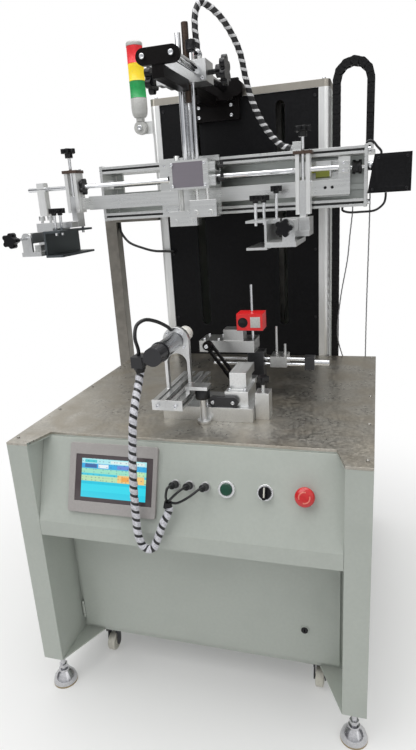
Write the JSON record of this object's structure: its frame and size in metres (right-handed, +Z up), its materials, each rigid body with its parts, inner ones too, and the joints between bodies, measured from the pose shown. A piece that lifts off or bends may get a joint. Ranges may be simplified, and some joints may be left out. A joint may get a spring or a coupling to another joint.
{
  "type": "cylindrical screen printer",
  "caption": "Free-standing screen printer for round ware: cabinet, column with lifting beam, screen carriage with frame arms, hanging squeegee head and servo spindle jig.",
  "frame": {"origin": "middle of the footprint, on the floor", "axes": "+X to the operator's right, +Y from the operator towards the column, +Z up"},
  "size_m": [1.085, 1.0486, 1.6754],
  "materials": {
    "paint": "light grey-green powder coat",
    "table_steel": "galvanised plate with brushed grain",
    "alloy": "satin anodised",
    "bright_steel": "ground and hard-chromed",
    "zinc": "zinc plated",
    "black_metal": "black satin",
    "black_plastic": "moulded, fine grain",
    "black_anodised": "black anodised",
    "fittings": "moulded, with chromed rings",
    "caster_wheel": "polished nylon",
    "lenses": "red, amber and green translucent sections",
    "start_green": "translucent cap",
    "stop_red": "moulded cap",
    "chuck_white": "turned, with a brass sleeve",
    "cord": "spiral wrapped hose and jacketed cable"
  },
  "bodies": {
    "root": {"cabinet_shell": "paint", "control_panel": "paint", "table_plate": "table_steel", "feet_and_casters": "bright_steel", "electrical_tray": "zinc", "panel_fittings": "fittings", "column_frame": "alloy", "column_front": "black_metal", "column_covers": "paint", "lift_frame": "zinc", "arm_bars": "bright_steel", "arm_brackets": "black_anodised", "hanger_block": "alloy", "side_post": "zinc", "chain_fixed": "black_plastic", "jig_base": "alloy", "jig_stand": "black_anodised", "head_hose": "cord", "jig_hose": "cord", "panel_leads": "cord"},
    "beam": {"beam_frame": "alloy", "drive_cover": "black_metal", "chain_moving": "black_plastic", "beam_cable": "cord"},
    "lift_screw": {"lift_screw": "bright_steel"},
    "chain_loop": {"chain_loop": "black_plastic"},
    "carriage": {"carriage_bar": "alloy", "arm_shaft": "bright_steel", "left_arm": "alloy", "right_arm": "alloy"},
    "traverse_screw": {"traverse_screw": "bright_steel"},
    "head": {"print_head": "alloy", "guide_rods": "bright_steel"},
    "squeegee_holder": {"squeegee_holder": "alloy"},
    "flood_holder": {"flood_holder": "alloy"},
    "hanger_knobs": {"hanger_knobs": "black_plastic"},
    "door": {"front_door": "paint"},
    "door_lock": {"door_lock": "bright_steel"},
    "start_button": {"start_button": "start_green"},
    "selector_switch": {"selector_switch": "black_plastic"},
    "emergency_stop": {"emergency_stop": "stop_red"},
    "front_wheels": {"front_wheels": "caster_wheel"},
    "rear_wheels": {"rear_wheels": "caster_wheel"},
    "tower": {"tower_light": "alloy", "tower_lenses": "lenses"},
    "jig_rail": {"jig_rail": "alloy", "spindle_motor": "bright_steel", "spindle_cable": "cord"},
    "spindle": {"spindle": "chuck_white"},
    "swing_arm": {"swing_arm": "black_anodised"},
    "left_carrier": {"left_carrier": "zinc"},
    "left_channel": {"left_channel": "zinc"},
    "left_height_screw": {"left_height_screw": "black_plastic"},
    "left_slide_screw": {"left_slide_screw": "black_plastic"},
    "left_frame_screws": {"left_frame_screws": "black_plastic"},
    "right_carrier": {"right_carrier": "zinc"},
    "right_channel": {"right_channel": "zinc"},
    "right_height_screw": {"right_height_screw": "black_plastic"},
    "right_slide_screw": {"right_slide_screw": "black_plastic"},
    "right_frame_screws": {"right_frame_screws": "black_plastic"}
  },
  "joints": [
    {"name": "beam_lift", "type": "slide", "parent": "root", "child": "beam", "axis": [0, 0, 1], "range_m": [-0.08, 0], "deforming": ["chain_fixed", "chain_moving", "head_hose", "beam_cable"]},
    {"name": "lift_screw_spin", "type": "hinge", "parent": "root", "child": "lift_screw", "pos_m": [0.0535, 0.395, 0.9], "axis": [0, 0, 1], "range_deg": [-2900, 10]},
    {"name": "chain_roll", "type": "slide", "parent": "beam", "child": "chain_loop", "axis": [0, 0, 1], "range_m": [0, 0.04]},
    {"name": "carriage_traverse", "type": "slide", "parent": "beam", "child": "carriage", "axis": [1, 0, 0], "range_m": [-0.08, 0]},
    {"name": "traverse_screw_spin", "type": "hinge", "parent": "beam", "child": "traverse_screw", "pos_m": [0.0695, 0.13, 1.262], "axis": [1, 0, 0], "range_deg": [-1450, 10]},
    {"name": "head_height", "type": "slide", "parent": "root", "child": "head", "axis": [0, 0, 1], "range_m": [-0.02, 0.02]},
    {"name": "squeegee_stroke", "type": "slide", "parent": "head", "child": "squeegee_holder", "axis": [0, 0, 1], "range_m": [-0.03, 0]},
    {"name": "flood_stroke", "type": "slide", "parent": "head", "child": "flood_holder", "axis": [0, 0, 1], "range_m": [-0.025, 0]},
    {"name": "hanger_knob_turn", "type": "hinge", "parent": "root", "child": "hanger_knobs", "pos_m": [-0.0105, -0.005, 1.503], "axis": [1, 0, 0], "continuous": true},
    {"name": "door_swing", "type": "hinge", "parent": "root", "child": "door", "pos_m": [-0.2715, -0.391, 0.28], "axis": [0, 0, 1], "range_deg": [-85, 0]},
    {"name": "lock_turn", "type": "hinge", "parent": "door", "child": "door_lock", "pos_m": [0.3225, -0.384, 0.209], "axis": [0, 1, 0], "range_deg": [0, 90]},
    {"name": "start_press", "type": "slide", "parent": "root", "child": "start_button", "axis": [0, -0.9381, 0.3464], "range_m": [-0.003, 0], "stiffness_N_per_m": 400, "springref_m": 0.002},
    {"name": "selector_turn", "type": "hinge", "parent": "root", "child": "selector_switch", "pos_m": [0.2545, -0.4719, 0.61219], "axis": [0, -0.9381, 0.3464], "range_deg": [-45, 45]},
    {"name": "stop_press", "type": "slide", "parent": "root", "child": "emergency_stop", "axis": [0, -0.9381, 0.3464], "range_m": [-0.005, 0], "stiffness_N_per_m": 800, "springref_m": 0.002},
    {"name": "front_wheels_spin", "type": "hinge", "parent": "root", "child": "front_wheels", "pos_m": [0.0695, -0.35, 0.035], "axis": [1, 0, 0], "continuous": true},
    {"name": "rear_wheels_spin", "type": "hinge", "parent": "root", "child": "rear_wheels", "pos_m": [0.0695, 0.45, 0.035], "axis": [1, 0, 0], "continuous": true},
    {"name": "tower_fold", "type": "hinge", "parent": "root", "child": "tower", "pos_m": [-0.2585, 0.288, 1.432], "axis": [0, 1, 0], "range_deg": [-90, 0]},
    {"name": "jig_tilt", "type": "hinge", "parent": "root", "child": "jig_rail", "pos_m": [0.0255, -0.248, 0.75], "axis": [1, 0, 0], "range_deg": [-6, 0], "deforming": ["jig_hose"]},
    {"name": "spindle_turn", "type": "hinge", "parent": "jig_rail", "child": "spindle", "pos_m": [0.0255, -0.27, 0.897], "axis": [0, 1, 0], "continuous": true},
    {"name": "swing_arm_turn", "type": "hinge", "parent": "root", "child": "swing_arm", "pos_m": [0.1265, -0.21, 0.78], "axis": [0, 1, 0], "range_deg": [-15, 15]},
    {"name": "left_height", "type": "slide", "parent": "carriage", "child": "left_carrier", "axis": [0, 0, 1], "range_m": [-0.025, 0.003]},
    {"name": "left_height_turn", "type": "hinge", "parent": "carriage", "child": "left_height_screw", "pos_m": [-0.384, 0.0335, 1.3], "axis": [0, 0, 1], "range_deg": [-2260, 280]},
    {"name": "left_reach", "type": "slide", "parent": "left_carrier", "child": "left_channel", "axis": [0, 1, 0], "range_m": [-0.012, 0.012]},
    {"name": "left_reach_turn", "type": "hinge", "parent": "left_channel", "child": "left_slide_screw", "pos_m": [-0.4705, -0.11, 1.129], "axis": [0, 1, 0], "range_deg": [-1090, 1090]},
    {"name": "left_frame_clamp", "type": "slide", "parent": "left_channel", "child": "left_frame_screws", "axis": [0, 0, 1], "range_m": [-0.012, 0]},
    {"name": "right_height", "type": "slide", "parent": "carriage", "child": "right_carrier", "axis": [0, 0, 1], "range_m": [-0.025, 0.003]},
    {"name": "right_height_turn", "type": "hinge", "parent": "carriage", "child": "right_height_screw", "pos_m": [0.2765, 0.0335, 1.3], "axis": [0, 0, 1], "range_deg": [-2260, 280]},
    {"name": "right_reach", "type": "slide", "parent": "right_carrier", "child": "right_channel", "axis": [0, 1, 0], "range_m": [-0.012, 0.012]},
    {"name": "right_reach_turn", "type": "hinge", "parent": "right_channel", "child": "right_slide_screw", "pos_m": [0.2575, -0.11, 1.129], "axis": [0, 1, 0], "range_deg": [-1090, 1090]},
    {"name": "right_frame_clamp", "type": "slide", "parent": "right_channel", "child": "right_frame_screws", "axis": [0, 0, 1], "range_m": [-0.012, 0]}
  ],
  "couplings": [
    {"joint": "lift_screw_spin", "follows": "beam_lift", "rad_per_m": 628.32},
    {"joint": "chain_roll", "follows": "beam_lift", "ratio": -0.5},
    {"joint": "traverse_screw_spin", "follows": "carriage_traverse", "rad_per_m": 314.16},
    {"joint": "left_height_turn", "follows": "left_height", "rad_per_m": 1570.8},
    {"joint": "left_reach_turn", "follows": "left_reach", "rad_per_m": 1570.8},
    {"joint": "right_height_turn", "follows": "right_height", "rad_per_m": 1570.8},
    {"joint": "right_reach_turn", "follows": "right_reach", "rad_per_m": 1570.8}
  ]
}
